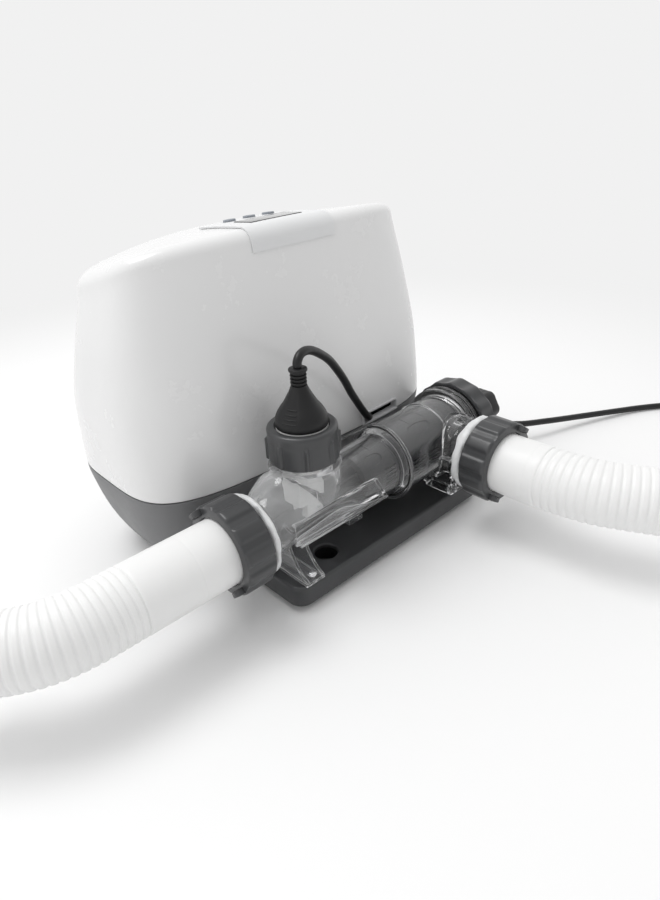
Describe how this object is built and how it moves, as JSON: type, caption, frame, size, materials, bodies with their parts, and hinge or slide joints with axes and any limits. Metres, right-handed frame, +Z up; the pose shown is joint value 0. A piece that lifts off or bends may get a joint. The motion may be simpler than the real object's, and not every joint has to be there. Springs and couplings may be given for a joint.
{
  "type": "salt chlorine generator",
  "caption": "Salt chlorine generator for a pool or spa: control housing, clear flow vessel with electrode cell and flow sensor on a tray, union collars, hoses and cord.",
  "frame": {"origin": "on the floor under the centre of the control housing", "axes": "+X to the right along the flow vessel, from the inlet hose towards the electrode cell; +Y from the vessel towards the back of the housing; +Z up"},
  "size_m": [0.8441, 0.4554, 0.275],
  "materials": {
    "shell_white": "satin-gloss moulded",
    "base_grey": "fine satin texture",
    "gate_grey": "satin",
    "tray_charcoal": "fine matt texture",
    "screw_chrome": "polished",
    "rubber_black": "matt",
    "vessel_clear": "clear moulded, polished",
    "seal_white": "translucent satin",
    "collar_grey": "satin",
    "hose_white": "satin",
    "natural_white": "satin",
    "moulded_black": "satin",
    "cable_black": "satin jacket",
    "panel_white": "matt film",
    "window_dark": "polished",
    "key_grey": "matt",
    "board_green": "satin",
    "winding_copper": "enamelled",
    "titanium": "matt",
    "pin_brass": "plain"
  },
  "bodies": {
    "base": {"housing_shell": "shell_white", "housing_base": "base_grey", "cable_gate": "gate_grey", "housing_screw_1": "screw_chrome", "housing_screw_2": "screw_chrome", "housing_screw_3": "screw_chrome", "housing_screw_4": "screw_chrome", "cell_tray": "tray_charcoal", "tray_foot_left": "rubber_black", "tray_foot_right": "rubber_black", "base_mat": "rubber_black", "vessel": "vessel_clear", "vessel_screw_left": "screw_chrome", "vessel_screw_right": "screw_chrome", "inlet_seal_ring": "seal_white", "outlet_seal_ring": "seal_white", "inlet_gasket": "rubber_black", "outlet_gasket": "rubber_black", "sensor_gasket": "rubber_black", "control_panel": "panel_white", "display_window": "window_dark", "display_board": "board_green", "power_board": "board_green", "transformer": "winding_copper", "cell_cable_gland": "rubber_black", "power_cord_gland": "rubber_black", "power_cord": "cable_black", "power_plug": "moulded_black", "plug_pin_left": "pin_brass", "plug_pin_right": "pin_brass"},
    "inlet_hose": {"inlet_hose": "hose_white"},
    "inlet_collar": {"inlet_collar": "collar_grey"},
    "outlet_hose": {"outlet_hose": "hose_white"},
    "outlet_collar": {"outlet_collar": "collar_grey"},
    "sensor_unit": {"flow_sensor_body": "natural_white", "sensor_boot": "moulded_black", "sensor_cable": "cable_black"},
    "sensor_slip": {"sensor_slip_ring": "natural_white"},
    "sensor_collar": {"sensor_collar": "collar_grey"},
    "flow_paddle": {"flow_paddle": "natural_white", "paddle_pin": "screw_chrome"},
    "cell_unit": {"cell_cartridge": "moulded_black", "cell_o_ring": "rubber_black", "terminal_post_minus": "titanium", "terminal_post_plus": "titanium", "electrode_plate_1": "titanium", "electrode_plate_2": "titanium", "electrode_plate_3": "titanium", "electrode_plate_4": "titanium", "electrode_plate_5": "titanium", "plate_comb_inner": "moulded_black", "plate_comb_outer": "moulded_black", "cell_boot": "moulded_black", "cell_cable": "cable_black"},
    "cell_slip": {"cell_slip_ring": "natural_white"},
    "cell_collar": {"cell_collar": "collar_grey"},
    "key_power": {"key_power": "key_grey"},
    "key_boost": {"key_boost": "key_grey"},
    "key_timer": {"key_timer": "key_grey"}
  },
  "joints": [
    {"name": "inlet_hose_slide", "type": "slide", "parent": "base", "child": "inlet_hose", "axis": [-1, 0, 0], "range_m": [0, 0.0101]},
    {"name": "inlet_collar_turn", "type": "hinge", "parent": "inlet_hose", "child": "inlet_collar", "pos_m": [-0.1331, -0.127, 0.0705], "axis": [-1, 0, 0], "range_deg": [0, 900]},
    {"name": "outlet_hose_slide", "type": "slide", "parent": "base", "child": "outlet_hose", "axis": [0, -1, 0], "range_m": [0, 0.0101]},
    {"name": "outlet_collar_turn", "type": "hinge", "parent": "outlet_hose", "child": "outlet_collar", "pos_m": [0.0983, -0.1954, 0.0705], "axis": [0, -1, 0], "range_deg": [0, 900]},
    {"name": "sensor_lift", "type": "slide", "parent": "base", "child": "sensor_unit", "axis": [0, 0, 1], "range_m": [0, 0.06]},
    {"name": "sensor_collar_travel", "type": "slide", "parent": "sensor_unit", "child": "sensor_slip", "axis": [0, 0, 1], "range_m": [0, 0.0101]},
    {"name": "sensor_collar_turn", "type": "hinge", "parent": "sensor_slip", "child": "sensor_collar", "pos_m": [-0.059, -0.127, 0.128], "axis": [0, 0, 1], "range_deg": [0, 900]},
    {"name": "paddle_swing", "type": "hinge", "parent": "sensor_unit", "child": "flow_paddle", "pos_m": [-0.059, -0.127, 0.072], "axis": [0, -1, 0], "range_deg": [0, 30]},
    {"name": "cell_withdraw", "type": "slide", "parent": "base", "child": "cell_unit", "axis": [1, 0, 0], "range_m": [0, 0.125]},
    {"name": "cell_collar_travel", "type": "slide", "parent": "cell_unit", "child": "cell_slip", "axis": [1, 0, 0], "range_m": [0, 0.0101]},
    {"name": "cell_collar_turn", "type": "hinge", "parent": "cell_slip", "child": "cell_collar", "pos_m": [0.1333, -0.127, 0.072], "axis": [1, 0, 0], "range_deg": [0, 900]},
    {"name": "key_power_press", "type": "slide", "parent": "base", "child": "key_power", "axis": [0.0226, -0.1199, -0.9925], "range_m": [0, 0.001]},
    {"name": "key_boost_press", "type": "slide", "parent": "base", "child": "key_boost", "axis": [0, -0.1131, -0.9936], "range_m": [0, 0.001]},
    {"name": "key_timer_press", "type": "slide", "parent": "base", "child": "key_timer", "axis": [-0.0226, -0.1199, -0.9925], "range_m": [0, 0.001]}
  ],
  "couplings": [
    {"joint": "inlet_hose_slide", "follows": "inlet_collar_turn", "m_per_rad": 0.00063662},
    {"joint": "outlet_hose_slide", "follows": "outlet_collar_turn", "m_per_rad": 0.00063662},
    {"joint": "sensor_collar_travel", "follows": "sensor_collar_turn", "m_per_rad": 0.00063662},
    {"joint": "cell_collar_travel", "follows": "cell_collar_turn", "m_per_rad": 0.00063662}
  ]
}
